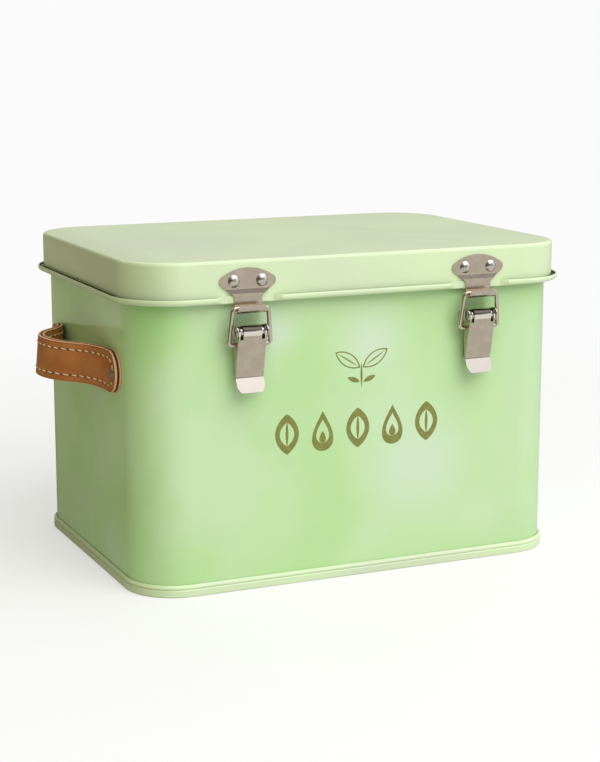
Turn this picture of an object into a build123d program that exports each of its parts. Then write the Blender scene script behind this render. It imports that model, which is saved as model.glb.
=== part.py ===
from build123d import *
import math
import os

# A garden seed organizer: a tinplate box with a hinged lid, two toggle latches, a leather
# strap handle on each end, and two rows of lift-out divider cards. Millimetres, +Z up, front
# at -Y. The origin is the middle of the box on the plane of the base seam, where it stands.

# ---- Box body ----
body_width = 245.0
body_depth = 178.0
body_height = 173.3
corner_radius = 26.0
tin = 0.6
rim_hem_proud = 0.75
rim_hem_height = 6.0
lock_seam_width = 5.0
lock_seam_proud = 0.5

# ---- Base pan: a double seam around the wall's foot, and a recessed panel ----
seam_proud = 1.9
seam_height = 4.1
groove_depth = 0.5
groove_height = 1.2
shoulder_top = 6.4
panel_recess = 3.0
panel_overlap = 4.0
body_hook_height = 3.0
seam_gap = 0.05
seam_corner = 0.8

# ---- Lid ----
lid_clearance = 3.3
lid_seat_gap = 0.1
lid_edge_radius = 2.0
curl_radius = 1.9
curl_low = body_height - 20.8
curl_turns = (45.0, 90.0, 85.0)
pressed_margin = 1.35
pressed_taper = 4.0
pressed_gap = 0.1
pressed_height = 4.2
pressed_drop = 0.4

# ---- Rivets ----
rivet_shank_radius = 1.6
rivet_head_radius = 3.25
rivet_head_height = 1.6
rivet_tail_radius = 2.6
rivet_tail_height = 0.8
rivet_clearance = 0.05

# ---- Toggle latches ----
latch_x = 66.5
steel = 0.9
lever_pin_out = 8.4
lever_pin_z = body_height - 35.1
lever_pin_radius = 2.1
barrel_clearance = 0.1
pin_hole_clearance = 0.05
lever_width = 15.2
tongue_width = 10.1
slot_low_z = body_height - 39.0
barrel_wrap = 230.0
barrel_bulge = 0.15
bend_out = 6.3
bend_z = body_height - 58.8
bill_out = 10.0
bill_z = body_height - 66.5
bill_width = 15.4
bill_corner = 4.8
bill_crown = 1.2
flange_foot_depth = 1.4
flange_foot_rise = 1.1
bail_pivot_out = 6.4
bail_pivot_z = body_height - 42.1
bail_wire_radius = 1.15
bail_hole_clearance = 0.1
bail_hole_wall = 1.0
bail_pin_gap = 1.35
bail_lip_gap = 0.5
bail_bar_z = body_height - 23.3
bail_corner = 2.0
bail_tail_x = 6.0
ear_radius = 3.4
ear_gap = 0.2
ear_low_z = body_height - 38.7
ear_high_z = body_height - 33.7
base_width = 11.6
base_low_z = body_height - 60.8
base_corner = 3.0
base_rivet_zs = (body_height - 56.3, body_height - 46.8)
pin_head_height = 0.4
pin_head_lip = 0.45

# ---- Keepers, on the lid's skirt ----
keeper_head_width = 31.2
keeper_head_top_z = body_height - 3.1
keeper_head_tip_z = body_height - 10.1
keeper_tip_radius = 2.7
keeper_neck_width = 15.2
keeper_neck_z = body_height - 17.4
keeper_neck_radius = 3.0
keeper_joggle_high_z = body_height - 13.7
keeper_joggle_low_z = body_height - 16.7
keeper_joggle_radius = 4.0
hook_low_z = body_height - 24.9
hook_gap = 5.3
lip_top_z = body_height - 21.3
lip_foot_width = 16.1
lip_top_width = 12.4
lip_shoulder_z = body_height - 23.9
keeper_rivet_x = 7.7
keeper_rivet_z = body_height - 9.8

# ---- Hinges ----
hinge_x = 66.5
hinge_width = 32.0
hinge_knuckle_gap = 0.2
hinge_middle_knuckle = 11.6
hinge_knuckle_radius = 2.1
hinge_axis_z = body_height - 24.1
hinge_pin_clearance = 0.05
hinge_wrap = 290.0
hinge_notch = 0.5
hinge_joggle_high_z = body_height - 28.3
hinge_joggle_low_z = body_height - 31.7
hinge_leaf_low_z = body_height - 44.3
hinge_leaf_high_z = body_height - 3.3
hinge_leaf_corner = 3.0
hinge_bend_radius = 1.5
hinge_rivet_x = 9.5
hinge_body_rivet_z = body_height - 37.8
hinge_lid_rivet_z = body_height - 9.3
hinge_rivet_head_radius = 2.8
hinge_rivet_head_height = 1.2

# ---- Strap handles ----
leather = 1.75
strap_width = 22.4
strap_tip = 58.5
strap_z = body_height - 59.8
strap_rise = 2.8
strap_waist = 1.4
bow_height = 23.6
bow_lean = 1.1
bow_foot_radius = 37.0
strap_rivet_y = 53.5

# ---- Partition and divider cards ----
partition_height = body_height - 55.3
partition_sheet = 0.8
partition_flange = 9.0
partition_hem = 6.0
cards_per_row = 6
card_thickness = 0.8
card_width = 85.2
card_partition_gap = 1.4
card_height = body_height - 61.3
card_floor_gap = 0.05
tab_width = 27.0
tab_height = 10.0
tab_corner = 3.0
card_corner = 2.0

# ---- Worked out from the sizes above ----
half_width = body_width / 2
half_depth = body_depth / 2
skirt_face = lid_clearance + tin
lid_top = body_height + lid_seat_gap + tin
curl_centre = (skirt_face + curl_radius - tin, curl_low + curl_radius)
pressed_face = skirt_face + pressed_gap + tin
floor_z = panel_recess + tin
keeper_face = pressed_face + steel
hook_centre = (keeper_face + hook_gap / 2, hook_low_z + hook_gap / 2)
bail_bar_out = hook_centre[0]
barrel_radius = lever_pin_radius + barrel_clearance + steel
ear_x = lever_width / 2 + ear_gap
bail_foot_width = 2 * (ear_x + steel + pin_head_height + bail_pin_gap + 2 * bail_wire_radius)
bail_top_width = lip_foot_width + 2 * bail_lip_gap + 4 * bail_wire_radius
pin_point = (lever_pin_out, lever_pin_z)
pivot_point = (bail_pivot_out, bail_pivot_z)
hinge_axis_out = pressed_face + steel - hinge_knuckle_radius
hinge_pin_radius = hinge_knuckle_radius - steel - hinge_pin_clearance
bow_half_span = strap_rivet_y - rivet_head_radius
compartment = (body_width - 2 * tin) / (cards_per_row + 1)
tiny = 1e-6

# Planes whose X points out of the wall and whose Y points up.
front = Plane(origin=(0, -half_depth, 0), x_dir=(0, -1, 0), z_dir=(-1, 0, 0))
back = Plane(origin=(0, half_depth, 0), x_dir=(0, 1, 0), z_dir=(1, 0, 0))


def bent_sheet(path, thickness):
    """The (out, up) section of a bent sheet. Its thickness lies left of the path, or right if negative."""
    side = Side.LEFT if thickness > 0 else Side.RIGHT
    edges = offset(path, amount=abs(thickness), side=side, kind=Kind.INTERSECTION).edges()
    return make_face(edges)


def sheet_between(inner, outer):
    """The section of a sheet between two rows of edges that run side by side."""
    ends = [Line(inner[0] @ 0, outer[0] @ 0), Line(inner[-1] @ 1, outer[-1] @ 1)]
    return make_face([*inner, *outer, *ends])


def around_wall(section):
    """Carry an (out, up) section once around the box wall."""
    path = RectangleRounded(body_width, body_depth, corner_radius).wire()
    start, along = path @ 0, path % 0
    outward = Vector(along.Y, -along.X, 0)
    if outward.dot(start) < 0:
        outward = -outward
    plane = Plane(origin=start, x_dir=outward, z_dir=outward.cross(Vector(0, 0, 1)))
    return sweep(plane * section, path=path, transition=Transition.RIGHT)


def across(section, width, wall=front, x=0.0):
    """Extrude an (out, up) section sideways, centred on x."""
    return Pos(x, 0, 0) * extrude(wall * section, amount=width / 2, both=True)


def slab(outline, low_out, high_out, wall=front):
    """An (x, z) outline as a solid between two distances out from the front or back wall."""
    near, far = half_depth + low_out, half_depth + high_out
    solid = extrude(Plane.XZ.offset(near) * outline, amount=far - near)
    return solid if wall is front else mirror(solid, about=Plane.XZ)


def rounded_plate(x_low, z_low, x_high, z_high, radius):
    """An (x, z) rectangle with round corners."""
    size = RectangleRounded(x_high - x_low, z_high - z_low, radius)
    return Pos((x_low + x_high) / 2, (z_low + z_high) / 2) * size


def rod(radius, low_out, high_out, x, z, wall=front):
    """A round bar square to the front or back wall, for holes and shanks."""
    return slab(Pos(x, z) * Circle(radius), low_out, high_out, wall)


def rivet(grip, head_radius=rivet_head_radius, head_height=rivet_head_height):
    """A domed rivet along +Z: its head sits on z = 0 and its tail closes under the grip."""
    ball = (head_radius**2 + head_height**2) / (2 * head_height)
    halfway = math.asin(head_radius / ball) / 2
    crown = (ball * math.sin(halfway), ball * math.cos(halfway) - ball + head_height)
    dome = ThreePointArc((head_radius, 0), crown, (0, head_height))
    side = Polyline(
        (0, head_height),
        (0, -grip - rivet_tail_height),
        (rivet_tail_radius, -grip - rivet_tail_height),
        (rivet_tail_radius, -grip),
        (rivet_shank_radius, -grip),
        (rivet_shank_radius, 0),
        (head_radius, 0),
    )
    return revolve(Plane.XZ * make_face([dome, *side.edges()]), axis=Axis.Z)


def wall_rivets(places, face_out, grip, wall=front, **head):
    """Rivets square to the front or back wall, with their heads on the face at face_out."""
    outward = Vector(0, -1, 0) if wall is front else Vector(0, 1, 0)
    solids = []
    for x, z in places:
        origin = (x, outward.Y * (half_depth + face_out), z)
        solids.append(Plane(origin=origin, x_dir=(1, 0, 0), z_dir=outward) * rivet(grip, **head))
    return Compound(children=solids)


rivet_hole = rivet_shank_radius + rivet_clearance
latch_places = {"left": -latch_x, "right": latch_x}
hinge_places = {"left": -hinge_x, "right": hinge_x}
parts = {}


# ---- Body shell: one wrapped sheet, hemmed at the rim and hooked into the base seam ----
def body_shell():
    hook_out = seam_proud - tin - seam_gap
    foot_z = tin + seam_gap
    wall_path = Polyline(
        (hook_out, body_hook_height),
        (hook_out, foot_z),
        (-tin, foot_z),
        (-tin, body_height),
        (rim_hem_proud, body_height),
        (rim_hem_proud, body_height - rim_hem_height),
    )
    section = bent_sheet(wall_path, -tin)
    rim_corners = [v for v in section.vertices() if math.isclose(v.Y, body_height, abs_tol=tiny)]
    section = fillet(rim_corners, tin)
    shell = around_wall(section)

    seam_top = body_height - rim_hem_height
    seam = Rectangle(lock_seam_width, seam_top - shoulder_top)
    shell += slab(Pos(0, (shoulder_top + seam_top) / 2) * seam, -tin / 2, lock_seam_proud, back)

    depth = (-2 * tin, 2 * tin)
    for x in latch_places.values():
        for z in base_rivet_zs:
            shell -= rod(rivet_hole, *depth, x, z)
    for x in hinge_places.values():
        for side in (-1, 1):
            shell -= rod(rivet_hole, *depth, x + side * hinge_rivet_x, hinge_body_rivet_z, back)
    for side in (-1, 1):
        for y in (-strap_rivet_y, strap_rivet_y):
            hole = Cylinder(rivet_hole, 4 * tin, rotation=(0, 90, 0))
            shell -= Pos(side * half_width, y, strap_z) * hole
    return shell


# ---- Base pan: a pressed panel whose edge wraps the wall's hook and grips it in a shoulder ----
def base_pan():
    chuck = -tin - seam_gap - tin
    pan_path = Polyline(
        (chuck - panel_overlap, panel_recess),
        (chuck, panel_recess),
        (chuck, 0),
        (seam_proud, 0),
        (seam_proud, seam_height - groove_height / 2),
        (seam_proud - groove_depth, seam_height),
        (seam_proud, seam_height + groove_height / 2),
        (seam_proud, seam_height + groove_height),
        (tin - seam_gap, shoulder_top),
    )
    section = bent_sheet(pan_path, tin)
    outer_foot = [v for v in section.vertices() if v.Y < tiny and v.X > 0]
    section = fillet(outer_foot, seam_corner)
    pan = around_wall(section)
    inset = 2 * (-chuck + panel_overlap / 2)
    panel = RectangleRounded(body_width - inset, body_depth - inset, corner_radius - inset / 2)
    return pan + Pos(0, 0, panel_recess) * extrude(panel, amount=tin)


# ---- Lid: a drawn tray whose skirt ends in an open curl, pressed flat behind each fitting ----
def lid():
    tray_path = FilletPolyline(
        (-corner_radius / 2, lid_top),
        (skirt_face, lid_top),
        (skirt_face, curl_centre[1]),
        radius=lid_edge_radius,
    )
    tray = around_wall(bent_sheet(tray_path, -tin))
    inset = corner_radius / 2
    plate = RectangleRounded(body_width - inset, body_depth - inset, corner_radius - inset / 2)
    tray += Pos(0, 0, lid_top - tin) * extrude(plate, amount=tin)

    # The curl's arc is three stretches. Where a fitting crosses it, they close to the two sides
    # and the fold of a flat hem, with a short taper each side.
    hem_bend = pressed_gap / 2
    hem_low = curl_low - pressed_drop
    hem_centre = (skirt_face + hem_bend, hem_low + hem_bend + tin)
    curl_lines, hem_lines = [], []
    for layer in (0, tin):
        near, far = skirt_face - layer, skirt_face + pressed_gap + layer
        hem_lines.append(
            [
                Line((near, curl_centre[1]), (near, hem_centre[1])),
                CenterArc(hem_centre, hem_bend + layer, 180, 180),
                Line((far, hem_centre[1]), (far, hem_low + pressed_height)),
            ]
        )
        arcs, angle = [], 180.0
        for turn in curl_turns:
            arcs.append(CenterArc(curl_centre, curl_radius - tin + layer, angle, turn))
            angle += turn
        curl_lines.append(arcs)
    curl_section = sheet_between(*curl_lines)
    hem_section = sheet_between(*hem_lines)
    curl = around_wall(curl_section)

    reach = 2 * curl_radius + skirt_face
    fittings = ((front, latch_places, bail_foot_width), (back, hinge_places, hinge_width))
    for wall, places, fitting_width in fittings:
        flat_half = fitting_width / 2 + pressed_margin
        round_half = flat_half + pressed_taper
        for x in places.values():
            window = Pos(x, curl_centre[1]) * Rectangle(2 * round_half, 4 * curl_radius)
            curl -= slab(window, lid_clearance - tin, reach, wall)
            curl += across(hem_section, 2 * flat_half, wall, x)
            for side in (-1, 1):
                flat_end = Pos(x + side * flat_half, 0, 0) * (wall * hem_section)
                round_end = Pos(x + side * round_half, 0, 0) * (wall * curl_section)
                curl += loft([flat_end, round_end], ruled=True)
    shell = tray + curl

    depth = (lid_clearance - tin, skirt_face + tin)
    for x in latch_places.values():
        for side in (-1, 1):
            shell -= rod(rivet_hole, *depth, x + side * keeper_rivet_x, keeper_rivet_z)
    for x in hinge_places.values():
        for side in (-1, 1):
            shell -= rod(rivet_hole, *depth, x + side * hinge_rivet_x, hinge_lid_rivet_z, back)
    return shell


parts["body_shell"] = body_shell()
parts["base_pan"] = base_pan()
parts["lid"] = lid()


# ---- Keeper: a riveted plate stepped over the pressed hem and rolled into an open hook ----
def keeper(x):
    centre_out, centre_z = hook_centre
    outer = hook_gap / 2 + steel
    plate_path = FilletPolyline(
        (skirt_face, keeper_head_top_z + steel),
        (skirt_face, keeper_joggle_high_z),
        (pressed_face, keeper_joggle_low_z),
        (pressed_face, centre_z),
        radius=keeper_joggle_radius,
    )
    hook = CenterArc(hook_centre, outer, 180, 180)
    lip = Line((centre_out + outer, centre_z), (centre_out + outer, lip_top_z))
    bent = across(bent_sheet(Wire([*plate_path.edges(), hook, lip]), steel), 2 * keeper_head_width)

    tip_x = keeper_head_width / 2 + keeper_tip_radius / 2
    neck_x, foot_x = keeper_neck_width / 2, lip_foot_width / 2
    low_z = hook_low_z - 2 * steel
    tip_z = keeper_head_tip_z
    crown = ThreePointArc((-tip_x, tip_z), (0, keeper_head_top_z), (tip_x, tip_z))
    edge = Polyline(
        (tip_x, tip_z),
        (neck_x, keeper_neck_z),
        (neck_x, centre_z),
        (foot_x, lip_shoulder_z - steel),
        (foot_x, low_z),
        (-foot_x, low_z),
        (-foot_x, lip_shoulder_z - steel),
        (-neck_x, centre_z),
        (-neck_x, keeper_neck_z),
        (-tip_x, tip_z),
    )
    head = make_face([crown, *edge.edges()])
    for corner_z, radius in ((tip_z, keeper_tip_radius), (keeper_neck_z, keeper_neck_radius)):
        corners = [v for v in head.vertices() if math.isclose(v.Y, corner_z, abs_tol=tiny)]
        head = fillet(corners, radius)

    top_x = lip_top_width / 2
    lip_edge = Polyline(
        (-foot_x, low_z),
        (foot_x, low_z),
        (foot_x, lip_shoulder_z),
        (top_x, lip_top_z + steel),
        (-top_x, lip_top_z + steel),
        (-foot_x, lip_shoulder_z),
        close=True,
    )
    lip_outline = make_face(lip_edge)
    plate = bent & slab(head, 0, centre_out)
    curved = bent & slab(lip_outline, centre_out, centre_out + 2 * outer)
    solid = plate + curved
    for side in (-1, 1):
        solid -= rod(rivet_hole, 0, centre_out, side * keeper_rivet_x, keeper_rivet_z)
    return Pos(x, 0, 0) * solid


# ---- Latch base: a riveted plate with an ear bent out on each side to hold the lever's pin ----
def latch_base(x):
    half = base_width / 2
    ear_z, ear_height = (ear_low_z + ear_high_z) / 2, ear_high_z - ear_low_z
    plate = slab(rounded_plate(-half, base_low_z, half, ear_high_z, base_corner), 0, steel)
    plate += slab(Pos(0, ear_z) * Rectangle(2 * (ear_x + steel), ear_height), 0, steel)
    foot = Pos(steel / 2, ear_z) * Rectangle(steel, ear_height)
    disc = Pos(*pin_point) * Circle(ear_radius)
    ear = make_hull([*foot.edges(), *disc.edges()])
    ear -= Pos(*pin_point) * Circle(lever_pin_radius + pin_hole_clearance)
    for side in (-1, 1):
        plate += across(ear, steel, front, side * (ear_x + steel / 2))
    for z in base_rivet_zs:
        plate -= rod(rivet_hole, -steel, 2 * steel, 0, z)
    return Pos(x, 0, 0) * plate


# ---- Lever: a channel with its tongue rolled over the pin and its foot kicked out as a bill ----
def lever(x):
    foot = Vector(bend_out, bend_z)
    pin = Vector(*pin_point)
    to_pin = pin - foot
    flange_radius = barrel_radius - barrel_bulge
    lean = math.atan2(to_pin.X, to_pin.Y) + math.asin(flange_radius / to_pin.length)
    crease = lean + math.acos(flange_radius / barrel_radius)
    meet = pin + Vector(math.cos(crease), -math.sin(crease)) * barrel_radius
    roll = CenterArc(pin_point, barrel_radius, math.degrees(-crease), barrel_wrap)
    face = FilletPolyline((bill_out, bill_z), (bend_out, bend_z), (meet.X, meet.Y), radius=2 * steel)
    channel = across(bent_sheet(Wire([*face.edges(), roll]), steel), 2 * lever_width)

    half, tongue, bill = lever_width / 2, tongue_width / 2, bill_width / 2
    top_z = lever_pin_z + 2 * barrel_radius
    low_z = bill_z - steel
    tongue_outline = Pos(0, (slot_low_z + top_z) / 2) * Rectangle(2 * tongue, top_z - slot_low_z)
    face_outline = Pos(0, (bend_z + slot_low_z) / 2) * Rectangle(2 * half, slot_low_z - bend_z)
    corner_z = low_z + bill_crown
    sides = Polyline((-bill, corner_z), (-bill, bend_z), (bill, bend_z), (bill, corner_z))
    tip = ThreePointArc((-bill, corner_z), (0, low_z), (bill, corner_z))
    bill_outline = make_face([*sides.edges(), tip])
    tip_corners = [v for v in bill_outline.vertices() if math.isclose(v.Y, corner_z, abs_tol=tiny)]
    bill_outline = fillet(tip_corners, bill_corner)
    reach = 2 * lever_pin_out
    solid = channel & slab(tongue_outline, 0, reach)
    solid += channel & slab(face_outline, 0, reach)
    solid += channel & slab(bill_outline, 0, reach)

    pin_disc = Pos(*pin_point) * Circle(flange_radius)
    pivot_disc = Pos(*pivot_point) * Circle(bail_wire_radius + bail_hole_clearance + bail_hole_wall)
    heel = (bend_out - flange_foot_depth, bend_z + flange_foot_rise)
    foot_edge = Line((bend_out, bend_z), heel)
    flange = make_hull([*pin_disc.edges(), *pivot_disc.edges(), foot_edge])
    flange -= Pos(*pin_point) * Circle(lever_pin_radius + pin_hole_clearance)
    flange -= Pos(*pivot_point) * Circle(bail_wire_radius + bail_hole_clearance)
    for side in (-1, 1):
        solid += across(flange, steel, front, side * (half - steel / 2))
    return Pos(x, 0, 0) * solid


# ---- Lever pin: a headed pin through the base's ears, the lever's flanges and its tongue ----
def lever_pin(x):
    half_length = ear_x + steel
    shaft = across(Pos(*pin_point) * Circle(lever_pin_radius), 2 * half_length)
    head = Pos(*pin_point) * Circle(lever_pin_radius + pin_head_lip)
    for side in (-1, 1):
        shaft += across(head, pin_head_height, front, side * (half_length + pin_head_height / 2))
    return Pos(x, 0, 0) * shaft


# ---- Bail: a bent wire loop, its tails turned in through the lever's flanges ----
def bail(x):
    rise = Vector(0, -(bail_bar_out - bail_pivot_out), bail_bar_z - bail_pivot_z)
    origin = (0, -half_depth - bail_pivot_out, bail_pivot_z)
    plane = Plane(origin=origin, x_dir=(1, 0, 0), z_dir=Vector(1, 0, 0).cross(rise))
    foot_x = bail_foot_width / 2 - bail_wire_radius
    top_x = bail_top_width / 2 - bail_wire_radius
    wire = FilletPolyline(
        (-bail_tail_x, 0),
        (-foot_x, 0),
        (-top_x, rise.length),
        (top_x, rise.length),
        (foot_x, 0),
        (bail_tail_x, 0),
        radius=bail_corner,
    )
    path = plane * wire
    cut = Plane(origin=path @ 0, z_dir=path % 0) * Circle(bail_wire_radius)
    return Pos(x, 0, 0) * sweep(cut, path=path)


for side, x in latch_places.items():
    keeper_spots = [(x + s * keeper_rivet_x, keeper_rivet_z) for s in (-1, 1)]
    base_spots = [(x, z) for z in base_rivet_zs]
    parts[side + "_keeper"] = keeper(x)
    parts[side + "_keeper_rivets"] = wall_rivets(keeper_spots, skirt_face + steel, steel + tin)
    parts[side + "_latch_base"] = latch_base(x)
    parts[side + "_latch_base_rivets"] = wall_rivets(base_spots, steel, steel + tin)
    parts[side + "_lever"] = lever(x)
    parts[side + "_lever_pin"] = lever_pin(x)
    parts[side + "_bail"] = bail(x)


# ---- Hinges: a three-knuckle butt hinge, its leaves stepped onto the skirt and the wall ----
def knuckle_spans():
    """The x spans of the two outer knuckles and of the middle one, about the hinge's middle."""
    half, middle = hinge_width / 2, hinge_middle_knuckle / 2
    outer = middle + hinge_knuckle_gap
    return [(-half, -outer), (outer, half)], [(-middle, middle)]


def hinge_leaf(flat, roll, outline, own_spans, knuckle_low, knuckle_high, x):
    """A leaf: the bent sheet cut to its outline, with only its own knuckles left at the pin."""
    reach = 4 * hinge_knuckle_radius
    bent = across(bent_sheet(flat, steel), hinge_width, back)
    bent += across(bent_sheet(roll, steel), hinge_width, back)
    leaf = bent & slab(outline, -tin, reach, back)
    for low_x, high_x in own_spans:
        middle = Pos((low_x + high_x) / 2, (knuckle_low + knuckle_high) / 2)
        window = middle * Rectangle(high_x - low_x, knuckle_high - knuckle_low)
        leaf += bent & slab(window, -tin, reach, back)
    return Pos(x, 0, 0) * leaf


def hinge_body_leaf(x):
    tangent_out = hinge_axis_out - hinge_knuckle_radius
    roll = CenterArc((hinge_axis_out, hinge_axis_z), hinge_knuckle_radius, 180 - hinge_wrap, hinge_wrap)
    drop = FilletPolyline(
        (tangent_out, hinge_axis_z),
        (tangent_out, hinge_joggle_high_z),
        (0, hinge_joggle_low_z),
        (0, hinge_leaf_low_z),
        radius=hinge_bend_radius,
    )
    top_z = hinge_axis_z - hinge_knuckle_radius - hinge_notch
    half = hinge_width / 2
    outline = rounded_plate(-half, hinge_leaf_low_z, half, top_z + hinge_leaf_corner, hinge_leaf_corner)
    outline &= Pos(0, (hinge_leaf_low_z + top_z) / 2) * Rectangle(2 * half, top_z - hinge_leaf_low_z)
    outer, _ = knuckle_spans()
    knuckle_high = hinge_axis_z + 2 * hinge_knuckle_radius
    leaf = hinge_leaf(drop, roll, outline, outer, top_z, knuckle_high, x)
    for side in (-1, 1):
        leaf -= rod(rivet_hole, -tin, 2 * steel, x + side * hinge_rivet_x, hinge_body_rivet_z, back)
    return leaf


def hinge_lid_leaf(x):
    face_out = pressed_face + steel
    roll = CenterArc((hinge_axis_out, hinge_axis_z), hinge_knuckle_radius, -hinge_wrap, hinge_wrap)
    rise = FilletPolyline(
        (face_out, hinge_axis_z),
        (face_out, keeper_joggle_low_z),
        (skirt_face + steel, keeper_joggle_high_z),
        (skirt_face + steel, hinge_leaf_high_z),
        radius=hinge_bend_radius,
    )
    low_z = hinge_axis_z + hinge_knuckle_radius + hinge_notch
    half = hinge_width / 2
    outline = rounded_plate(-half, low_z - hinge_leaf_corner, half, hinge_leaf_high_z, hinge_leaf_corner)
    outline &= Pos(0, (low_z + hinge_leaf_high_z) / 2) * Rectangle(2 * half, hinge_leaf_high_z - low_z)
    _, middle = knuckle_spans()
    knuckle_low = hinge_axis_z - 2 * hinge_knuckle_radius
    leaf = hinge_leaf(rise, roll, outline, middle, knuckle_low, low_z, x)
    for side in (-1, 1):
        leaf -= rod(rivet_hole, 0, 2 * face_out, x + side * hinge_rivet_x, hinge_lid_rivet_z, back)
    return leaf


def hinge_pin(x):
    shaft = Pos(hinge_axis_out, hinge_axis_z) * Circle(hinge_pin_radius)
    head = Pos(hinge_axis_out, hinge_axis_z) * Circle(hinge_knuckle_radius - pin_head_height / 2)
    pin = across(shaft, hinge_width, back)
    for side in (-1, 1):
        pin += across(head, pin_head_height, back, side * (hinge_width + pin_head_height) / 2)
    return Pos(x, 0, 0) * pin


hinge_head = {"head_radius": hinge_rivet_head_radius, "head_height": hinge_rivet_head_height}
for side, x in hinge_places.items():
    body_spots = [(x + s * hinge_rivet_x, hinge_body_rivet_z) for s in (-1, 1)]
    lid_spots = [(x + s * hinge_rivet_x, hinge_lid_rivet_z) for s in (-1, 1)]
    parts[side + "_hinge_body_leaf"] = hinge_body_leaf(x)
    parts[side + "_hinge_lid_leaf"] = hinge_lid_leaf(x)
    parts[side + "_hinge_pin"] = hinge_pin(x)
    parts[side + "_hinge_body_rivets"] = wall_rivets(body_spots, steel, steel + tin, back, **hinge_head)
    parts[side + "_hinge_lid_rivets"] = wall_rivets(
        lid_spots, skirt_face + steel, steel + tin, back, **hinge_head
    )


# ---- Strap handles: two leather layers, flat at the rivets and bowed out for the hand ----
def bow_edge(bow, height, end):
    """The plan line of one end of a bow, at a height over its wall face, from tip to middle."""
    reach = math.hypot(bow_half_span, bow)
    total = reach**2 / (2 * bow)
    crown = total - bow_foot_radius
    turn = math.asin(bow_half_span / total)

    def foot_point(angle):
        radius = bow_foot_radius - height
        along = bow_half_span - radius * math.sin(angle)
        return (end * along, bow_foot_radius - radius * math.cos(angle))

    def crown_point(angle):
        radius = crown + height
        return (end * radius * math.sin(angle), bow - crown + radius * math.cos(angle))

    flat = Line((end * strap_tip, height), (end * bow_half_span, height))
    flare = ThreePointArc(foot_point(0), foot_point(turn / 2), foot_point(turn))
    bow = ThreePointArc(crown_point(turn), crown_point(turn / 2), crown_point(0))
    return [flat, flare, bow]


def strap_layer(side, low, high):
    """One leather layer of the strap, between two heights over the wall."""
    plans = []
    for edge in (-2, 2):
        bow = bow_height - edge * bow_lean
        outline = [line for h in (low, high) for end in (-1, 1) for line in bow_edge(bow, h, end)]
        outline += [Line((end * strap_tip, low), (end * strap_tip, high)) for end in (-1, 1)]
        origin = (side * half_width, 0, strap_z + edge * strap_width / 2)
        plans.append(Plane(origin=origin, x_dir=(0, 1, 0), z_dir=(0, 0, -side)) * make_face(outline))
    band = loft(plans, ruled=True)

    radius = strap_width / 2
    shoulder = strap_tip - radius
    low_z, high_z = strap_z - radius, strap_z + radius
    edges = []
    for z, rise in ((low_z, strap_rise), (high_z, strap_rise - strap_waist)):
        edges.append(ThreePointArc((-shoulder, z), (0, z + rise), (shoulder, z)))
    for end in (-1, 1):
        tip = end * strap_tip
        edges.append(ThreePointArc((end * shoulder, low_z), (tip, strap_z), (end * shoulder, high_z)))
    outline = make_face(edges)
    blank = extrude(Plane.YZ * outline, amount=side * (half_width + 2 * bow_height))
    layer = band & blank
    for y in (-strap_rivet_y, strap_rivet_y):
        hole = Cylinder(rivet_hole, 8 * leather, rotation=(0, 90, 0))
        layer -= Pos(side * half_width, y, strap_z) * hole
    return layer


for name, side in (("left", -1), ("right", 1)):
    parts[name + "_handle_lining"] = strap_layer(side, 0, leather)
    parts[name + "_handle_outer"] = strap_layer(side, leather, 2 * leather)
    heads = []
    for y in (-strap_rivet_y, strap_rivet_y):
        seat = Plane(origin=(side * (half_width + 2 * leather), y, strap_z), z_dir=(side, 0, 0))
        heads.append(seat * rivet(2 * leather + tin))
    parts[name + "_handle_rivets"] = Compound(children=heads)


# ---- Partition: a lengthwise sheet with a hemmed top, its end flanges welded to the walls ----
def partition():
    end = half_width - tin
    half = partition_sheet / 2
    plan = Rectangle(2 * end, partition_sheet)
    for side in (-1, 1):
        flange = Rectangle(partition_sheet, partition_flange)
        plan += Pos(side * (end - half), side * (partition_flange / 2 - half)) * flange
    sheet = Pos(0, 0, floor_z) * extrude(plan, amount=partition_height)
    hem_length = 2 * (end - 2 * partition_flange)
    hem = Box(hem_length, partition_sheet, partition_hem, align=(Align.CENTER, Align.MIN, Align.MAX))
    return sheet + Pos(0, half, floor_z + partition_height) * hem


# ---- Divider cards: each has a tab, stepped across the row so that all can be read ----
def divider_card(row, index):
    x = -half_width + tin + compartment * (index + 1)
    near = partition_sheet / 2 + card_partition_gap
    middle_y = row * (near + card_width / 2)
    low_z = floor_z + card_floor_gap
    card = Pos(0, card_height / 2) * RectangleRounded(card_width, card_height, card_corner)
    step = (card_width - tab_width) / 2 - tab_corner
    tab_y = row * step * (index % 3 - 1)
    tab = Pos(tab_y, card_height) * RectangleRounded(tab_width, 2 * tab_height, tab_corner)
    outline = card + tab
    plane = Plane(origin=(x, middle_y, low_z), x_dir=(0, 1, 0), z_dir=(1, 0, 0))
    return extrude(plane * outline, amount=card_thickness / 2, both=True)


parts["partition"] = partition()
number = 1
for row in (-1, 1):
    for index in range(cards_per_row):
        parts[f"divider_card_{number:02d}"] = divider_card(row, index)
        number += 1

os.makedirs("parts", exist_ok=True)
for node, shape in parts.items():
    export_step(shape, f"parts/{node}.step")
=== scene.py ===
import math

import bmesh
import bpy
from mathutils import Matrix, Vector


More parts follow.
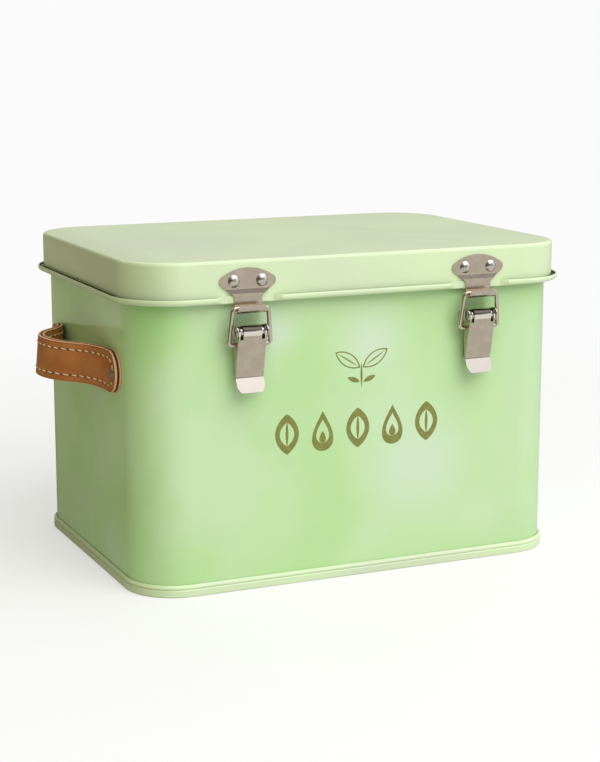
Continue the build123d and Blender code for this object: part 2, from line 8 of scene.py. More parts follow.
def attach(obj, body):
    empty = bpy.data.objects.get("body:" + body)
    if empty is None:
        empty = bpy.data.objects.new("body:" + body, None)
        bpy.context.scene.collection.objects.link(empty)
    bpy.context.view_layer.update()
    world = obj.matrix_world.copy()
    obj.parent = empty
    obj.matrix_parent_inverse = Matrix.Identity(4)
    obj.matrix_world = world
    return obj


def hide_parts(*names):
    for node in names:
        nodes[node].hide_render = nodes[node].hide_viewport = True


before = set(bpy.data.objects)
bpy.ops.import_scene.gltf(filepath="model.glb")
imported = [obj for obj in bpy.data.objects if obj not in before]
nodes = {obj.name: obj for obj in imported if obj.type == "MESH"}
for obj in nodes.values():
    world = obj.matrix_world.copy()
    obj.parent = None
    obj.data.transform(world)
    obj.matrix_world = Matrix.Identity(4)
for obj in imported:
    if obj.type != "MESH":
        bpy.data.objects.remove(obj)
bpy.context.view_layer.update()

# ---- Body shell ----
# One sheet of tinplate wrapped into a round-cornered wall and lock-seamed behind. It is enamelled
# outside in a clouded leaf green with paler clouds on the front, and in plain sage inside. Under
# the lid at the left front corner, a rich green is painted shade.


class Value:
    """A socket of a finish. A sum written on it adds the Math node that does it."""

    def __init__(self, finish, socket):
        self.finish = finish
        self.socket = socket

    def sum(self, operation, first, second=0.0):
        """Add the Math node for one operation."""
        return self.finish.node("ShaderNodeMath", {"operation": operation}, {0: first, 1: second})

    def at_least(self, other):
        return self.sum("MAXIMUM", self, other)

    def __add__(self, other):
        return self.sum("ADD", self, other)

    def __sub__(self, other):
        return self.sum("SUBTRACT", self, other)

    def __rsub__(self, other):
        return self.sum("SUBTRACT", other, self)

    def __mul__(self, other):
        return self.sum("MULTIPLY", self, other)

    def __pow__(self, other):
        return self.sum("POWER", self, other)

    def __gt__(self, other):
        return self.sum("GREATER_THAN", self, other)

    def __lt__(self, other):
        return self.sum("LESS_THAN", self, other)

    def __abs__(self):
        return self.sum("ABSOLUTE", self)

    __radd__ = __add__


class Nodes:
    """The node tree of a material or of the world, with the nodes that are used here."""

    def __init__(self, tree, place="Object"):
        self.tree = tree
        self.place = self.node("ShaderNodeTexCoord", output=place)

    def node(self, kind, settings=None, inputs=None, output=0):
        """Add a node: its settings first, then the values or links of its sockets."""
        made = self.tree.nodes.new(kind)
        for name, value in (settings or {}).items():
            setattr(made, name, value)
        for key, value in (inputs or {}).items():
            if isinstance(value, Value):
                self.tree.links.new(value.socket, made.inputs[key])
            else:
                made.inputs[key].default_value = value
        return Value(self, made.outputs[output])

    def noise(self, scale, detail=2.0, roughness=0.5, distortion=0.0):
        """Cloudy noise from 0 to 1 with the given number of cells to a metre."""
        inputs = {"Vector": self.place, "Scale": scale, "Detail": detail}
        inputs.update({"Roughness": roughness, "Distortion": distortion})
        return self.node("ShaderNodeTexNoise", None, inputs)

    def blend(self, share, first, second):
        """The colour that goes from first to second as share goes from 0 to 1."""
        colours = {6: first, 7: second}
        for key, colour in colours.items():
            if not isinstance(colour, Value):
                colours[key] = (*colour, 1.0)
        settings = {"data_type": "RGBA", "clamp_factor": True}
        return self.node("ShaderNodeMix", settings, {0: share, **colours}, output=2)

    def ease(self, value, low, high):
        """0 before low, 1 past high, and a smooth step between. High may be the lesser."""
        settings = {"interpolation_type": "SMOOTHSTEP"}
        return self.node("ShaderNodeMapRange", settings, {"Value": value, 1: low, 2: high})

    def axes(self, place=None):
        """The x, y and z of a place, which is the object's own unless another is given."""
        made = self.node("ShaderNodeSeparateXYZ", None, {0: place or self.place})
        outputs = made.socket.node.outputs
        return [Value(self, outputs[axis]) for axis in range(3)]


class Finish(Nodes):
    """One material: a Principled shader and the nodes that vary it over the surface."""

    def __init__(self, name, **constants):
        self.material = bpy.data.materials.new(name)
        self.material.use_nodes = True
        super().__init__(self.material.node_tree)
        self.shader = self.tree.nodes["Principled BSDF"]
        for socket, value in constants.items():
            self.shader.inputs[socket.replace("_", " ").title()].default_value = value

    def vary(self, **values):
        """Link values that change over the surface to the shader's sockets."""
        for socket, value in values.items():
            self.tree.links.new(value.socket, self.shader.inputs[socket.replace("_", " ").title()])

    def bump(self, height, depth):
        """Raise the surface by height times depth, in metres."""
        inputs = {"Strength": 1.0, "Distance": depth, "Height": height}
        self.vary(normal=self.node("ShaderNodeBump", None, inputs))


def coat(finish, *names):
    """Give CAD nodes a finish."""
    for name in names:
        materials = nodes[name].data.materials
        materials.clear()
        materials.append(finish.material)


def length(first, *others):
    """How far off a place is, from its distance along each axis."""
    squares = first * first
    for other in others:
        squares = squares + other * other
    return squares**0.5


WALL_WIDTH, WALL_DEPTH, CORNER, SHEET = 0.245, 0.178, 0.026, 0.0006


def out_from_wall(finish):
    """How far a place lies out from the box's round-cornered wall."""
    x, y, _ = finish.axes()
    over_x = (abs(x) - (WALL_WIDTH / 2 - CORNER)).at_least(0.0)
    over_y = (abs(y) - (WALL_DEPTH / 2 - CORNER)).at_least(0.0)
    return length(over_x, over_y) - CORNER


def stove(finish, colour):
    """Give a finish the colour and the gloss of stoved enamel, with its faint orange peel."""
    finish.vary(base_color=colour, roughness=finish.noise(60.0) * 0.04 + 0.07)
    finish.bump(finish.noise(260.0, detail=1.0), 0.00002)


LEAF_GREEN, DEEP_GREEN = (0.520, 0.745, 0.385), (0.465, 0.712, 0.322)
# The rich green below is painted shade, for under the lid at the left front corner.
PALE_GREEN, LID_SHADE_GREEN = (0.625, 0.755, 0.575), (0.330, 0.640, 0.195)
INNER_SAGE = (0.660, 0.800, 0.500)
PALE_CLOUDS = ((0.034, 0.058, 0.050), (0.006, 0.126, 0.034), (-0.050, 0.136, 0.024))
CLOUD_CORE, CLOUD_WISP = 0.008, 0.024
# Where the painted shade under the lid sits, and how it is squashed, frayed and spread.
LID_SHADE_SPOT, LID_SHADE_SQUASH, LID_SHADE_WISP, LID_SHADE_EDGE = (-0.118, -0.084, 0.148), 0.7746, 0.012, 0.036

wall_paint = Finish("leaf_green_enamel")
clouds = wall_paint.noise(11.0, detail=2.0, roughness=0.45, distortion=0.4)
wisps = wall_paint.noise(17.0, detail=2.5, roughness=0.5, distortion=0.3)
x, y, z = wall_paint.axes()
pale = 0.0
for cloud_x, cloud_z, size in PALE_CLOUDS:
    away = length(x - cloud_x, z - cloud_z) + wisps * CLOUD_WISP
    pale = (1 - wall_paint.ease(away, CLOUD_CORE, CLOUD_CORE + size)).at_least(pale)
pale = pale * (y < 0.0)
# Painted shade: a rich green under the lid's curl at the left front corner.
cloud_x, cloud_y, cloud_z = LID_SHADE_SPOT
away = length(x - cloud_x, y - cloud_y, (z - cloud_z) * LID_SHADE_SQUASH) + wisps * LID_SHADE_WISP
lid_shade = 1 - wall_paint.ease(away, CLOUD_CORE, LID_SHADE_EDGE)
green = wall_paint.blend(wall_paint.ease(clouds, 0.36, 0.62), DEEP_GREEN, LEAF_GREEN)
green = wall_paint.blend(wall_paint.ease(wisps, 0.42, 0.70) * 0.35, green, PALE_GREEN)
green = wall_paint.blend(pale * 0.95, green, PALE_GREEN)
green = wall_paint.blend(lid_shade * 0.75, green, LID_SHADE_GREEN)
skin = out_from_wall(wall_paint) > -SHEET / 2
stove(wall_paint, wall_paint.blend(skin, INNER_SAGE, green))
coat(wall_paint, "body_shell")


# ---- Base pan, lid and partition ----
# The base is pressed and double-seamed on, the lid is a drawn tray with an open curled edge, and
# the partition is a hemmed sheet. They share one sage enamel, with painted shade deeper at the
# left end. Inside, the curl is painted near black as shade, but for where it is pressed flat at
# the fittings.
CURL_OUT, CURL_HEIGHT, CURL_INSIDE = 0.0052, 0.1544, 0.00145
FITTING_X, FRONT_PRESSED, BACK_PRESSED = 0.0665, 0.0184, 0.0217
# The third sage is painted shade, deeper towards the left end.
SAGE, GREY_SAGE, LEFT_END_SHADE = INNER_SAGE, (0.610, 0.700, 0.500), (0.500, 0.580, 0.330)
LEFT_SHADE_FROM, LEFT_SHADE_TO = 0.100, 0.124
# Near black, painted shade inside the open curl.
CURL_SHADE = (0.040, 0.045, 0.028)

sage_paint = Finish("sage_enamel")
clouds = sage_paint.noise(9.0, detail=2.0, roughness=0.45, distortion=0.5)
x, y, z = sage_paint.axes()
sage = sage_paint.blend(sage_paint.ease(clouds, 0.35, 0.68), SAGE, GREY_SAGE)
# Painted shade, deeper towards the left end.
sage = sage_paint.blend(sage_paint.ease(x * -1.0, LEFT_SHADE_FROM, LEFT_SHADE_TO) * 0.6, sage, LEFT_END_SHADE)
# Painted shade inside the curl, left out where the curl is pressed flat at the fittings.
in_curl = length(out_from_wall(sage_paint) - CURL_OUT, z - CURL_HEIGHT) < CURL_INSIDE
half_pressed = (y > 0.0) * (BACK_PRESSED - FRONT_PRESSED) + FRONT_PRESSED
pressed = (abs(abs(x) - FITTING_X) < half_pressed) * (abs(y) > WALL_DEPTH / 2)
stove(sage_paint, sage_paint.blend(in_curl * (1 - pressed), sage, CURL_SHADE))
coat(sage_paint, "base_pan", "lid", "partition")


# ---- Latches and hinges ----
# Keepers, bases, levers and hinge leaves are stamped from stainless strip and tumbled to a warm
# satin. A lever's bill is a greyer steel, and its roll carries a painted highlight across its
# middle and painted shade on top. The bails are bent from smoother wire. The rivets and pins are
# turned, and brighter.
SATIN, WORN_SATIN = (0.545, 0.467, 0.375), (0.595, 0.522, 0.432)
WIRE, WORN_WIRE = (0.590, 0.520, 0.430), (0.640, 0.575, 0.490)
BRIGHT, WORN_BRIGHT = (0.640, 0.600, 0.550), (0.540, 0.520, 0.490)
# A greyer tone for the bill, then a painted highlight and painted shade on top of the roll.
GREYER_BILL, ROLL_HIGHLIGHT, ROLL_SHADE = (0.510, 0.470, 0.425), (0.900, 0.850, 0.780), (0.110, 0.095, 0.080)
LEVER_BANDS = ((0.1149, 0.1141, GREYER_BILL), (0.1360, 0.1364, ROLL_HIGHLIGHT), (0.1384, 0.1392, ROLL_SHADE))
EASED_EDGE, SHARP_ANGLE, JOIN = 0.00026, math.radians(50.0), 0.000002
SIDES = (("left", -1), ("right", 1))


def tumbled(name, colour, worn, roughness, bands=()):
    """Tumbled steel, softly worn and finely grained, with bands of other colours by height."""
    finish = Finish(name, metallic=1.0)
    steel = finish.blend(finish.ease(finish.noise(240.0, detail=3.0), 0.4, 0.7), colour, worn)
    z = finish.axes()[2]
    for low, high, mark in bands:
        steel = finish.blend(finish.ease(z, low, high), steel, mark)
    finish.vary(base_color=steel, roughness=finish.noise(500.0) * 0.06 + roughness)
    finish.bump(finish.noise(1200.0, detail=1.0), 0.0000008)
    return finish


def ease_edges(piece):
    """Round the sharp edges of a piece a little, so that they catch the light."""
    weld = piece.modifiers.new("weld", "WELD")
    weld.merge_threshold = JOIN
    bevel = piece.modifiers.new("eased edges", "BEVEL")
    bevel.width, bevel.segments = EASED_EDGE, 2
    bevel.limit_method, bevel.angle_limit = "ANGLE", SHARP_ANGLE
    bevel.miter_outer = "MITER_ARC"
    bevel.harden_normals = True


satin_steel = tumbled("satin_steel", SATIN, WORN_SATIN, 0.22)
lever_steel = tumbled("lever_steel", SATIN, WORN_SATIN, 0.20, LEVER_BANDS)
wire_steel = tumbled("wire_steel", WIRE, WORN_WIRE, 0.09)
bright_steel = tumbled("bright_steel", BRIGHT, WORN_BRIGHT, 0.16)
for side, _ in SIDES:
    for piece in ("keeper", "latch_base", "lever", "bail", "hinge_body_leaf", "hinge_lid_leaf"):
        steel = {"lever": lever_steel, "bail": wire_steel}.get(piece, satin_steel)
        coat(steel, f"{side}_{piece}")
        ease_edges(nodes[f"{side}_{piece}"])
    for piece in ("keeper", "latch_base", "hinge_body", "hinge_lid", "handle"):
        coat(bright_steel, f"{side}_{piece}_rivets")
    coat(bright_steel, f"{side}_lever_pin", f"{side}_hinge_pin")


# ---- Strap handles ----
# Each strap is two layers of tan leather, cut together with round ends, stitched round the edge
# and left raw there. It is riveted to the wall at both ends and stands bowed out for the hand.
STRAP_WIDTH, STRAP_TIP, STRAP_MIDDLE = 0.0224, 0.0585, 0.1135
STRAP_STEPS, STRAP_ACROSS = 132, 18
LEATHER, RAW_ROUND, SEAM_DENT, ROUND_FROM = 0.00175, 0.00045, 0.00015, 1.2
BOW, BOW_LEAN, BOW_FOOT, BOW_HALF = 0.0236, 0.0011, 0.037, 0.05025
STRAP_RISE, STRAP_WAIST, RIVET_PLACE, FOOT_PRESSED = 0.0028, 0.0014, 0.0535, 0.012
STITCH_INSET, STITCH_LENGTH, THREAD, STITCHES, SLANT = 0.0040, 0.0034, 0.00085, 55, 0.10
STRAP_TOTAL = (BOW_HALF**2 + BOW**2) / (2 * BOW)
BOW_CURVED = STRAP_TOTAL * math.asin(BOW_HALF / STRAP_TOTAL)
STRAP_END = BOW_CURVED + STRAP_TIP - BOW_HALF
STRAP_SHOULDER = STRAP_END - STRAP_WIDTH / 2
SHADY_TAN, TAN, PORE = (0.400, 0.128, 0.024), (0.500, 0.185, 0.046), (0.150, 0.045, 0.010)
# The groove colour below is darker pressed leather and painted shade for the gaps between
# stitches.
GROOVE_TONE_AND_SHADE, PRESSED = (0.105, 0.032, 0.008), (0.120, 0.040, 0.010)
HANDLED, GLUE_LINE = (0.210, 0.060, 0.014), (0.100, 0.006, 0.004)
RAW, PALE_RAW = (0.740, 0.400, 0.200), (0.900, 0.560, 0.320)
WAXED, PALE_WAXED = (0.700, 0.440, 0.220), (0.920, 0.700, 0.430)


def flat_strap():
    """Both layers of a strap, laid flat: one sheet raised twice, then rounded at its raw rims."""
    strap = bmesh.new()
    bmesh.ops.create_grid(strap, x_segments=STRAP_STEPS, y_segments=STRAP_ACROSS, size=1.0)
    for vert in strap.verts:
        along, across = vert.co.x * STRAP_END, vert.co.y
        over = max(0.0, abs(along) - STRAP_SHOULDER) / (STRAP_WIDTH / 2)
        rounded = over * (1 - across**2 / 2) ** 0.5 * STRAP_WIDTH / 2
        along = math.copysign(min(abs(along), STRAP_SHOULDER) + rounded, along)
        across *= (1 - over**2 / 2) ** 0.5
        vert.co = (along, across * STRAP_WIDTH / 2, 0.0)
    top = strap.faces[:]
    for _ in range(2):
        grown = bmesh.ops.extrude_face_region(strap, geom=top)["geom"]
        raised = [part for part in grown if isinstance(part, bmesh.types.BMVert)]
        bmesh.ops.translate(strap, verts=raised, vec=(0.0, 0.0, LEATHER))
        top = [part for part in grown if isinstance(part, bmesh.types.BMFace)]
    for vert in strap.verts:
        if math.isclose(vert.co.z, LEATHER, abs_tol=1e-6):
            past = max(0.0, abs(vert.co.x) - STRAP_SHOULDER)
            outward = Vector((math.copysign(past, vert.co.x), vert.co.y, 0.0)).normalized()
            vert.co -= outward * SEAM_DENT
    bmesh.ops.recalc_face_normals(strap, faces=strap.faces)
    rims = [edge for edge in strap.edges if edge.calc_face_angle(0.0) > ROUND_FROM]
    bmesh.ops.bevel(
        strap, geom=rims, offset=RAW_ROUND, segments=3, profile=0.5, affect="EDGES", material=-1
    )
    layer = strap.verts.layers.float.new("level")
    for vert in strap.verts:
        vert[layer] = vert.co.z
    layer = strap.loops.layers.uv.new("flat")
    for face in strap.faces:
        for loop in face.loops:
            loop[layer].uv = loop.vert.co.xy
    return strap


def stitch_place(distance):
    """The place and heading at a distance along the stitch line, which goes round the strap."""
    radius = STRAP_WIDTH / 2 - STITCH_INSET
    run, turn = 2 * STRAP_SHOULDER, math.pi * radius
    half, left = divmod(distance, run + turn)
    flip = 1 - 2 * half
    heading = math.pi * half
    if left < run:
        return flip * (left - STRAP_SHOULDER), -flip * radius, heading
    angle = (left - run) / radius
    place = STRAP_SHOULDER + radius * math.sin(angle)
    return flip * place, -flip * radius * math.cos(angle), heading + angle


def flat_stitching():
    """The stitches of a strap that is laid flat. Behind, the riveted feet hide theirs."""
    seams = bmesh.new()
    sized = Matrix.Diagonal((STITCH_LENGTH / 2, THREAD / 2, THREAD / 2, 1.0))
    round_trip = 4 * STRAP_SHOULDER + 2 * math.pi * (STRAP_WIDTH / 2 - STITCH_INSET)
    for number in range(STITCHES):
        along, across, heading = stitch_place(round_trip * number / STITCHES)
        turned = Matrix.Rotation(heading + SLANT, 4, "Z")
        for height in (0.0, 2 * LEATHER):
            if height == 0.0 and abs(along) > BOW_CURVED - FOOT_PRESSED:
                continue
            place = Matrix.Translation((along, across, height)) @ turned @ sized
            bmesh.ops.create_icosphere(seams, subdivisions=2, radius=1.0, matrix=place)
    return seams


def bowed(along, height, bow):
    """Where a point of the flat strap lies once it is bowed: along the wall, and out from it."""
    if abs(along) > BOW_CURVED:
        return math.copysign(BOW_HALF + abs(along) - BOW_CURVED, along), height
    total = (BOW_HALF**2 + bow**2) / (2 * bow)
    crown = total - BOW_FOOT
    turn = math.asin(BOW_HALF / total)
    curved = abs(along) / BOW_CURVED * total * turn
    if curved < crown * turn:
        angle = curved / crown
        place = (crown + height) * math.sin(angle)
        return math.copysign(place, along), bow - crown + (crown + height) * math.cos(angle)
    angle = (total * turn - curved) / BOW_FOOT
    place = BOW_HALF - (BOW_FOOT - height) * math.sin(angle)
    return math.copysign(place, along), BOW_FOOT - (BOW_FOOT - height) * math.cos(angle)


def bend_strap(mesh, side):
    """Bow work that was laid flat, x along the strap and z through it, at one end of the box."""
    for vert in mesh.verts:
        along, across, height = vert.co
        middle, _ = bowed(along, 0.0, BOW)
        arch = max(0.0, 1.0 - (middle / (STRAP_TIP - STRAP_WIDTH / 2)) ** 2)
        lift = across + (STRAP_RISE - STRAP_WAIST * (0.5 + across / STRAP_WIDTH)) * arch
        place, out = bowed(along, height, BOW - BOW_LEAN * lift / (STRAP_WIDTH / 2))
        vert.co = (side * (WALL_WIDTH / 2 + out), place, STRAP_MIDDLE + lift)
    bmesh.ops.recalc_face_normals(mesh, faces=mesh.faces)


def piece_of(name, mesh, finish):
    """Turn finished mesh work into a named piece that rides on the box."""
    data = bpy.data.meshes.new(name)
    mesh.to_mesh(data)
    mesh.free()
    data.shade_smooth()
    data.materials.append(finish.material)
    made = bpy.data.objects.new(name, data)
    bpy.context.scene.collection.objects.link(made)
    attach(made, "box")
    return made


hide = Finish("tan_leather")
along, across, _ = hide.axes(hide.node("ShaderNodeUVMap", {"uv_map": "flat"}))
level = hide.node("ShaderNodeAttribute", {"attribute_name": "level"}, output=2)
inset = STRAP_WIDTH / 2 - length((abs(along) - STRAP_SHOULDER).at_least(0.0), across)
from_rivet = length(abs(along) - (BOW_CURVED + RIVET_PLACE - BOW_HALF), across)
mottle = hide.noise(70.0, detail=4.0, roughness=0.55)
cells = {"Vector": hide.place, "Scale": 1500.0}
pebble = hide.node("ShaderNodeTexVoronoi", {"feature": "DISTANCE_TO_EDGE"}, cells)
pores = hide.noise(2100.0)
tan = hide.blend(hide.ease(mottle, 0.32, 0.70), SHADY_TAN, TAN)
tan = hide.blend(hide.ease(pores, 0.60, 0.75) * 0.35, tan, PORE)
# Darker pressed leather along the stitch groove, and painted shade there for the stitch gaps.
channel = 1 - hide.ease(abs(inset - STITCH_INSET), 0.0003, 0.0009)
tan = hide.blend(channel * 0.75, tan, GROOVE_TONE_AND_SHADE)
pressed = 1 - hide.ease(from_rivet, 0.0033, 0.0043)
tan = hide.blend(pressed * 0.6, tan, PRESSED)
handled = 1 - hide.ease(inset, 0.0004, 0.0017)
tan = hide.blend(handled * 0.45, tan, HANDLED)
cut_edge = 1 - hide.ease(inset, 0.00022, 0.00048)
seam = 1 - hide.ease(abs(level - LEATHER), 0.0005, 0.0008)
raw = hide.blend(hide.noise(1300.0, detail=3.0), RAW, PALE_RAW)
hide.vary(base_color=hide.blend(cut_edge, tan, hide.blend(seam, raw, GLUE_LINE)))
hide.vary(roughness=pores * 0.16 + cut_edge * 0.25 + 0.42)
hide.bump(hide.ease(pebble, 0.0, 0.12) * 0.25 - channel + mottle * 0.3 - pressed * 0.6, 0.00022)

waxed = Finish("waxed_thread", roughness=0.55)
twist = waxed.noise(2600.0)
waxed.vary(base_color=waxed.blend(twist, WAXED, PALE_WAXED))
waxed.bump(twist, 0.00008)

for name, side in SIDES:
    strap = flat_strap()
    bend_strap(strap, side)
    leather = piece_of(f"{name}_strap", strap, hide)
    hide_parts(f"{name}_handle_outer", f"{name}_handle_lining")
    seams = flat_stitching()
    bend_strap(seams, side)
    piece_of(f"{name}_strap_stitching", seams, waxed)


# ---- Front print ----
# A row of seeds and leaves with a small seedling over it, screen printed in olive ink on the
# front wall.
PRINT_FACE, INK_FILM = -(WALL_DEPTH / 2 + 0.00004), 0.00008
PRINT_LOW, PRINT_LEFT, PRINT_RIGHT, PRINT_STEPS = 0.0700, -0.0430, 0.0390, 56
GLYPHS, GLYPH, STROKE, TIP_STROKE = 5, (0.0135, 0.0215), 0.0026, 1.7
LEAF_TAPER, SEED_TAPER, SEED_BROAD = 1.7, 1.3, 1.25
KERNEL, KERNEL_DROP, MIDRIB = (0.0042, 0.0064), 0.0030, (0.0016, 0.0130)
STEM_X, STEM_Z, STEM = 0.0, 0.1090, (0.0011, 0.0130)
SEED_LEAF, SEED_LEAF_STROKE, SEED_LEAF_RIB = (0.0072, 0.0170), 0.0006, (0.0007, 0.0125)
SEED_LEAF_OUT, SEED_LEAF_UP, SEED_LEAF_LEAN = 0.0080, 0.0086, 1.02
BUD, BUD_OUT, BUD_DOWN, BUD_LEAN = (0.0026, 0.0074), 0.0046, 0.0022, 1.2
OLIVE, WORN_OLIVE = (0.190, 0.200, 0.038), (0.245, 0.255, 0.060)

ink = Finish("olive_ink", roughness=0.45)
worn = ink.noise(500.0, detail=4.0, roughness=0.6)
ink.vary(base_color=ink.blend(ink.ease(worn, 0.30, 0.75), OLIVE, WORN_OLIVE))
ink.bump(worn, 0.00002)


def leaf(angle):
    """A pointed leaf, from -1 to 1 high."""
    return math.copysign(abs(math.sin(angle)) ** LEAF_TAPER, math.sin(angle)), math.cos(angle)


def drop(angle):
    """A seed, round below and pointed above."""
    taper = abs(math.sin(angle / 2)) ** SEED_TAPER * SEED_BROAD
    return math.sin(angle) * taper, math.cos(angle)


def print_shape(mesh, outline, centre, size, turn=0.0, stroke=0.0):
    """Add one printed shape: filled, or only its outline where a stroke is given."""
    spin = Matrix.Rotation(turn, 2)
    rings = []
    for trim in (0.0, stroke):
        rings.append([])
        for number in range(PRINT_STEPS):
            across, up = outline(2 * math.pi * number / PRINT_STEPS)
            flat = Vector((across * (size[0] / 2 - trim), up * (size[1] / 2 - TIP_STROKE * trim)))
            place = spin @ flat + Vector(centre)
            rings[-1].append(mesh.verts.new((place.x, 0.0, place.y)))
        if not stroke:
            mesh.faces.new(rings[0])
            return
    outer, inner = rings
    for number in range(PRINT_STEPS):
        mesh.faces.new((outer[number - 1], outer[number], inner[number], inner[number - 1]))


printed = bmesh.new()
for number in range(GLYPHS):
    across = PRINT_LEFT + (PRINT_RIGHT - PRINT_LEFT) * number / (GLYPHS - 1)
    up = PRINT_LOW + GLYPH[1] / 2
    if number % 2:
        print_shape(printed, drop, (across, up), GLYPH, stroke=STROKE)
        print_shape(printed, drop, (across, up - KERNEL_DROP), KERNEL)
    else:
        print_shape(printed, leaf, (across, up), GLYPH, stroke=STROKE)
        print_shape(printed, leaf, (across, up), MIDRIB)
print_shape(printed, leaf, (STEM_X, STEM_Z), STEM)
for _, side in SIDES:
    tip = (STEM_X + side * SEED_LEAF_OUT, STEM_Z + SEED_LEAF_UP)
    turn = -side * SEED_LEAF_LEAN
    print_shape(printed, leaf, tip, SEED_LEAF, turn, SEED_LEAF_STROKE)
    print_shape(printed, leaf, tip, SEED_LEAF_RIB, turn)
    bud = (STEM_X + side * BUD_OUT, STEM_Z - BUD_DOWN)
    print_shape(printed, leaf, bud, BUD, -side * BUD_LEAN)
film = bmesh.ops.extrude_face_region(printed, geom=printed.faces[:])["geom"]
raised = [part for part in film if isinstance(part, bmesh.types.BMVert)]
bmesh.ops.translate(printed, verts=raised, vec=(0.0, -INK_FILM, 0.0))
bmesh.ops.translate(printed, verts=printed.verts, vec=(0.0, PRINT_FACE + INK_FILM / 2, 0.0))
bmesh.ops.recalc_face_normals(printed, faces=printed.faces)
piece_of("front_print", printed, ink).data.shade_flat()


# ---- Divider cards ----
# Twelve die-cut cards of uncoated buff board with bare stepped tabs. They stand loose in the two
# rows and lift out.
BUFF, DULL_BUFF, FLECK = (0.640, 0.500, 0.320), (0.520, 0.390, 0.235), (0.300, 0.200, 0.110)

board = Finish("buff_board", roughness=0.9)
fibres = board.noise(900.0, detail=4.0, roughness=0.7)
flecks = board.ease(board.noise(2200.0, detail=1.0), 0.70, 0.78)
board.vary(base_color=board.blend(flecks, board.blend(fibres, BUFF, DULL_BUFF), FLECK))
board.bump(fibres, 0.00006)
for name in nodes:
    if name.startswith("divider_card"):
        coat(board, name)


# ---- Floor ----
# A plain pale sweep that keeps the box's own shadow and runs out into white. It throws warm light
# back on the left. What the tin mirrors of it there is dim, but for a slanted pale strip behind.
WHITE = 0.965
SEEN_FLOOR, FLOOR_GLOW = (0.49, 0.49, 0.485), 0.465
PALE_FLOOR, WARM_FLOOR, DIM_FLOOR = (0.68, 0.68, 0.68), (0.62, 0.55, 0.36), (0.10, 0.09, 0.07)
RIGHTWARD, BACKWARD, ACROSS_STRIP = (0.91, -0.42, 0.0), (-0.30, 0.95, 0.0), (1.0, 0.207, 0.0)
STRIP_FADE, STRIP_LEFT = (0.55, 0.80), (-0.255, -0.246)
GAP_MIDDLE, GAP_SIDE = -0.205, (0.003, 0.007)
FLOOR_RADIUS, WHITE_FROM, WHITE_TO = 14.0, 0.30, 0.75


def rays(shading, kind):
    """1 for rays of the given kind, and 0 for the others."""
    return shading.node("ShaderNodeLightPath", output=f"Is {kind} Ray")


def toward(shading, direction):
    """How far a place on the floor, or a direction in the room, lies in the one given."""
    settings, inputs = {"operation": "DOT_PRODUCT"}, {0: shading.place, 1: direction}
    return shading.node("ShaderNodeVectorMath", settings, inputs, output="Value")


def show(shading, output, shader):
    """Make a shader the one that the floor or the room shows."""
    shading.tree.links.new(shader.socket, shading.tree.nodes[output].inputs["Surface"])


sweep_paint = Finish("pale_sweep", roughness=0.9)
seen, mirrored = rays(sweep_paint, "Camera"), rays(sweep_paint, "Glossy")
rightward = toward(sweep_paint, RIGHTWARD)
warm = (1 - sweep_paint.ease(rightward, -0.30, -0.05)) * 0.6
dim = mirrored * (1 - sweep_paint.ease(rightward, -0.20, -0.08)) * 0.85
across = toward(sweep_paint, ACROSS_STRIP)
strip = sweep_paint.ease(toward(sweep_paint, BACKWARD), *STRIP_FADE)
strip = strip * sweep_paint.ease(across, *STRIP_LEFT)
strip = strip * sweep_paint.ease(abs(across - GAP_MIDDLE), *GAP_SIDE)
lit = sweep_paint.blend(warm, PALE_FLOOR, WARM_FLOOR)
lit = sweep_paint.blend(dim * (1 - strip * 0.7), lit, DIM_FLOOR)
sweep_paint.vary(base_color=sweep_paint.blend(seen, lit, SEEN_FLOOR))
matt = Value(sweep_paint, sweep_paint.shader.outputs[0])
glow = sweep_paint.node("ShaderNodeEmission", None, {"Strength": seen * FLOOR_GLOW})
near = sweep_paint.node("ShaderNodeAddShader", None, {0: matt, 1: glow})
x, y, _ = sweep_paint.axes()
far = sweep_paint.ease(length(x, y), WHITE_FROM, WHITE_TO) * seen
white = sweep_paint.node("ShaderNodeEmission", None, {"Strength": WHITE})
sweep = sweep_paint.node("ShaderNodeMixShader", None, {0: far, 1: near, 2: white})
show(sweep_paint, "Material Output", sweep)

mesh = bmesh.new()
bmesh.ops.create_circle(mesh, cap_ends=True, segments=96, radius=FLOOR_RADIUS)
floor_mesh = bpy.data.meshes.new("sweep")
mesh.to_mesh(floor_mesh)
mesh.free()
floor_mesh.materials.append(sweep_paint.material)
floor = bpy.data.objects.new("sweep", floor_mesh)
bpy.context.scene.collection.objects.link(floor)


# ---- Room ----
# A pale room that is brighter in front, towards the window, and behind on the right, and warm on
# the left. What the tin mirrors of it is darker and faintly green behind, with a bright ceiling
# and a bright side wall on the right.
WINDOW_SIDE = (0.20, -0.98, 0.0)
PLAIN, WARM_ROOM, GREEN_ROOM = (1.0, 1.0, 1.0), (1.0, 0.93, 0.58), (0.95, 1.0, 0.76)

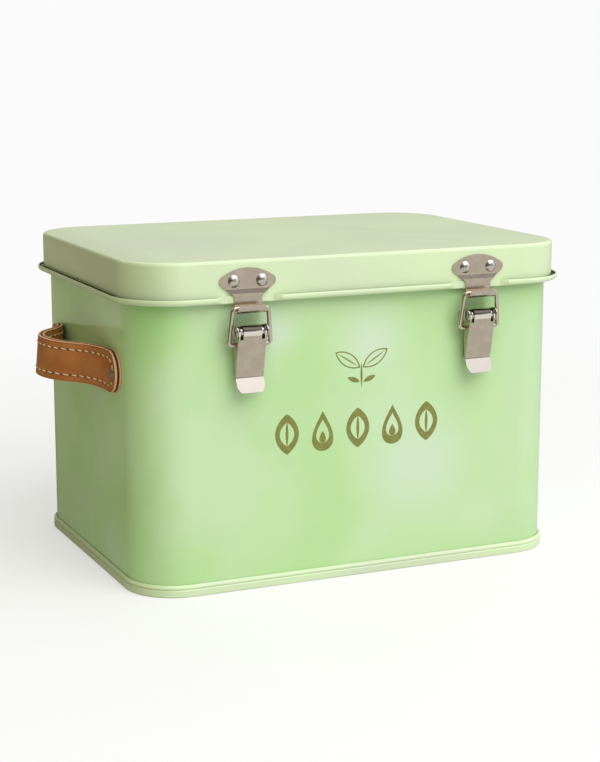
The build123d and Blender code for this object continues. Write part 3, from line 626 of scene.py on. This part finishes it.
world = bpy.data.worlds.new("studio")
bpy.context.scene.world = world
world.use_nodes = True
room = Nodes(world.node_tree, place="Generated")
seen, mirrored = rays(room, "Camera"), rays(room, "Glossy")
right, back, up = room.axes()
soft_light = 0.28 + room.ease(toward(room, WINDOW_SIDE), -0.5, 0.9) * 0.46
soft_light = soft_light + room.ease(right * 0.7 + back * 0.7, 0.2, 0.9) * 0.45
ceiling = room.ease(up, 0.40, 0.60) * (0.20 + room.ease(right, -0.5, 0.1) * 1.50)
back_wall = room.ease(back, 0.05, 0.35) * room.ease(right, -0.25, 0.10) * 0.27
side_wall = room.ease(right, 0.45, 0.85) * 0.7
mirror_light = 0.12 + room.ease(right, -0.4, 0.1) * 0.24
mirror_light = mirror_light + ceiling.at_least(back_wall.at_least(side_wall))
light = soft_light * (1 - mirrored) + mirror_light * mirrored
light = light * (1 - seen) + seen * WHITE
tint = room.blend(room.ease(right, -0.75, -0.15).at_least(seen), WARM_ROOM, PLAIN)
tint = room.blend(mirrored * room.ease(back, 0.3, 0.7) * 0.9, tint, GREEN_ROOM)
show(room, "World Output", room.node("ShaderNodeBackground", None, {0: tint, 1: light}))


# ---- Lights and camera ----
# A window-sized softbox stands in front on the right. The camera looks at the front and the left
# end from a little above the lid.
WINDOW_AIM, WINDOW_AWAY, WINDOW_SIZE, WINDOW_POWER = Vector((0.0, 0.0, 0.1)), 2.1, 2.0, 35.0
WINDOW_RISE, WINDOW_TURN = math.radians(50.0), math.radians(17.0)
EYE, TARGET = Vector((-0.4045, -0.9104, 0.2866)), Vector((0.00439, 0.0, 0.08928))
FRAME_HEIGHT, FOCAL_PIXELS = 762, 1766.7


def stand(name, data, place, aim):
    """Stand a lamp or a camera at a place, and turn it to face another."""
    made = bpy.data.objects.new(name, data)
    made.location = place
    made.rotation_euler = (aim - place).to_track_quat("-Z", "Y").to_euler()
    bpy.context.scene.collection.objects.link(made)
    return made


softbox = bpy.data.lights.new("window", "AREA")
softbox.size, softbox.energy = WINDOW_SIZE, WINDOW_POWER
window_ward = Vector((math.sin(WINDOW_TURN), -math.cos(WINDOW_TURN), math.tan(WINDOW_RISE)))
place = WINDOW_AIM + window_ward.normalized() * WINDOW_AWAY
stand("window", softbox, place, WINDOW_AIM).visible_glossy = False

view = bpy.data.cameras.new("camera")
view.sensor_width = 36.0
view.lens = view.sensor_width * FOCAL_PIXELS / FRAME_HEIGHT
bpy.context.scene.camera = stand("camera", view, EYE, TARGET)
bpy.context.scene.view_settings.view_transform = "Standard"
